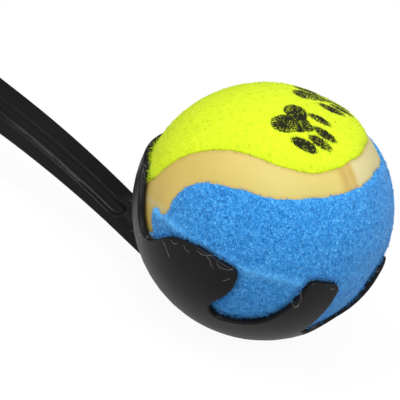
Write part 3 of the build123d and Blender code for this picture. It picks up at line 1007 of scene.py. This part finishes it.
def lint_hairs():
    """Hairs that lie on the launcher's face and curl along it."""
    rng = np.random.default_rng(LINT_SEED)
    curves = bpy.data.curves.new("lint", "CURVE")
    curves.dimensions = "3D"
    curves.bevel_depth = LINT_RADIUS * MM
    curves.bevel_resolution = 1
    curves.resolution_u = 4
    for px, py, towards, length in LINT:
        spot, normal, _, _ = launcher_tree.ray_cast(eye, ray(px, py))
        if spot is None:
            continue
        turn = radians(towards)
        bend = rng.uniform(-LINT_FIRST_CURL, LINT_FIRST_CURL)
        spline = curves.splines.new("NURBS")
        spline.points.add(LINT_STEPS)
        for k, point in enumerate(spline.points):
            lift = LINT_FLOAT + LINT_WAVE * abs(sin(k * LINT_WAVE_STEP + towards))
            point.co = (*(spot + normal * (lift * MM)), 1.0)
            bend = LINT_CURL_KEPT * bend + rng.normal(0.0, LINT_CURL)
            turn += bend
            step = (right * cos(turn) - up * sin(turn)) * (length * MM / LINT_STEPS)
            spot, normal, _, _ = launcher_tree.find_nearest(spot + step - normal * step.dot(normal))
        spline.order_u = 3
        spline.use_endpoint_u = True
    source = bpy.data.objects.new("lint", curves)
    scene.collection.objects.link(source)
    mesh = bpy.data.meshes.new_from_object(source.evaluated_get(bpy.context.evaluated_depsgraph_get()))
    bpy.data.objects.remove(source)
    mesh.materials.clear()
    mesh.materials.append(lint("lint"))
    piece = bpy.data.objects.new("cup_lint", mesh)
    scene.collection.objects.link(piece)
    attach(piece, "launcher")


lint_hairs()

# Finishes of the pieces that keep their CAD shape: tones, and grain or stipple per metre
CORE_TONE = (0.10, 0.085, 0.07)
looks = {
    "launcher": plastic("black_plastic", (0.0055, 0.0055, 0.006), grain=2600.0, grooved=True),
    "end_cap": plastic("cap_plastic", (0.006, 0.006, 0.0065), grain=2200.0),
    "grip_sleeve": rubber("grip_rubber", (0.02, 0.02, 0.021)),
    "cap_pin": steel("pin_steel"),
    "core_half_upper": rubber("core_rubber_upper", CORE_TONE, stipple=1500.0),
    "core_half_lower": rubber("core_rubber_lower", CORE_TONE, stipple=1500.0),
    "core_bond": rubber("core_cement", (0.16, 0.14, 0.11), stipple=1800.0),
}
for name, look in looks.items():
    for slot in nodes[name].material_slots:
        slot.material = look

# The white floor: half its side and how far it lies under the part, in metres, its own tone, the brightness
# that it shows, how much of that the gloss takes, and the share that hides its shading; the rest shows the
# part's shadow
FLOOR_HALF = 4
FLOOR_DROP = 0.0004
FLOOR_TONE = (0.5, 0.5, 0.5, 1.0)
FLOOR_SHOWN = 1.05
FLOOR_MIRRORED = 0.4
FLOOR_HIDING = 0.9
WHITE = (1.0, 1.0, 1.0, 1.0)

# A studio that is bright above and in front and dim behind
STUDIO_FRONT = (0.1, -0.5, 0.86)
STUDIO_RANGE = (("From Min", 0.35), ("From Max", 0.95), ("To Min", 0.15), ("To Max", 0.9))


def area_light(name, place, aim, size, power):
    """A round lamp that looks at a point."""
    data = bpy.data.lights.new(name, "AREA")
    data.shape = "DISK"
    data.size = size
    data.energy = power
    light = bpy.data.objects.new(name, data)
    light.location = place
    light.rotation_euler = (Vector(place) - Vector(aim)).to_track_quat("Z", "Y").to_euler()
    scene.collection.objects.link(light)


def add_floor():
    """A floor that looks white and still takes the part's shadow."""
    mesh = bpy.data.meshes.new("floor")
    corners = ((-1, -1), (1, -1), (1, 1), (-1, 1))
    mesh.from_pydata([(x * FLOOR_HALF, y * FLOOR_HALF, -FLOOR_DROP) for x, y in corners], [], [(0, 1, 2, 3)])
    floor = bpy.data.objects.new("floor", mesh)
    scene.collection.objects.link(floor)
    m = Nodes("floor")
    m.tree.nodes.remove(m.shader)
    lit = m.add("ShaderNodeBsdfDiffuse", {"Color": FLOOR_TONE})
    glow = m.add("ShaderNodeEmission", {"Color": WHITE, "Strength": FLOOR_SHOWN})
    path = m.add("ShaderNodeLightPath").outputs
    mirrored = m.times(path["Is Glossy Ray"], FLOOR_MIRRORED)
    through = m.math("MAXIMUM", mirrored, path["Is Transmission Ray"])
    seen = m.math("MAXIMUM", path["Is Camera Ray"], through)
    shares = {0: m.times(seen, FLOOR_HIDING), 1: lit.outputs[0], 2: glow.outputs[0]}
    blend = m.add("ShaderNodeMixShader", shares)
    m.tree.links.new(blend.outputs[0], m.tree.nodes["Material Output"].inputs["Surface"])
    mesh.materials.append(m.material)


def add_world():
    """The light that comes from all around."""
    world = bpy.data.worlds.new("studio")
    scene.world = world
    world.use_nodes = True
    tree = world.node_tree
    background = tree.nodes["Background"]
    place = tree.nodes.new("ShaderNodeTexCoord")
    facing = tree.nodes.new("ShaderNodeVectorMath")
    facing.operation = "DOT_PRODUCT"
    facing.inputs[1].default_value = Vector(STUDIO_FRONT).normalized()
    tree.links.new(place.outputs["Generated"], facing.inputs[0])
    strength = tree.nodes.new("ShaderNodeMapRange")
    strength.interpolation_type = "SMOOTHSTEP"
    for key, value in STUDIO_RANGE:
        strength.inputs[key].default_value = value
    tree.links.new(facing.outputs["Value"], strength.inputs["Value"])
    tree.links.new(strength.outputs[0], background.inputs["Strength"])
    background.inputs["Color"].default_value = WHITE


def add_lamps():
    """Four round lamps around the ball: place, aim, size in metres and watts."""
    ball = BALL_CENTRE
    area_light("key", ball + Vector((0.5, -0.65, 0.9)), ball, size=0.6, power=6.4)
    behind = ball - Vector((0.05, 0.0, 0.0))
    area_light("top", ball + Vector((-0.1, -0.45, 0.9)), behind, size=0.3, power=3.8)
    area_light("fill", ball + Vector((-0.9, -0.6, 0.5)), ball, size=0.9, power=1.8)
    area_light("side", ball + right * 0.8 + up * 0.15 + back * 0.1, ball, size=0.4, power=1.8)


add_floor()
add_world()
add_lamps()
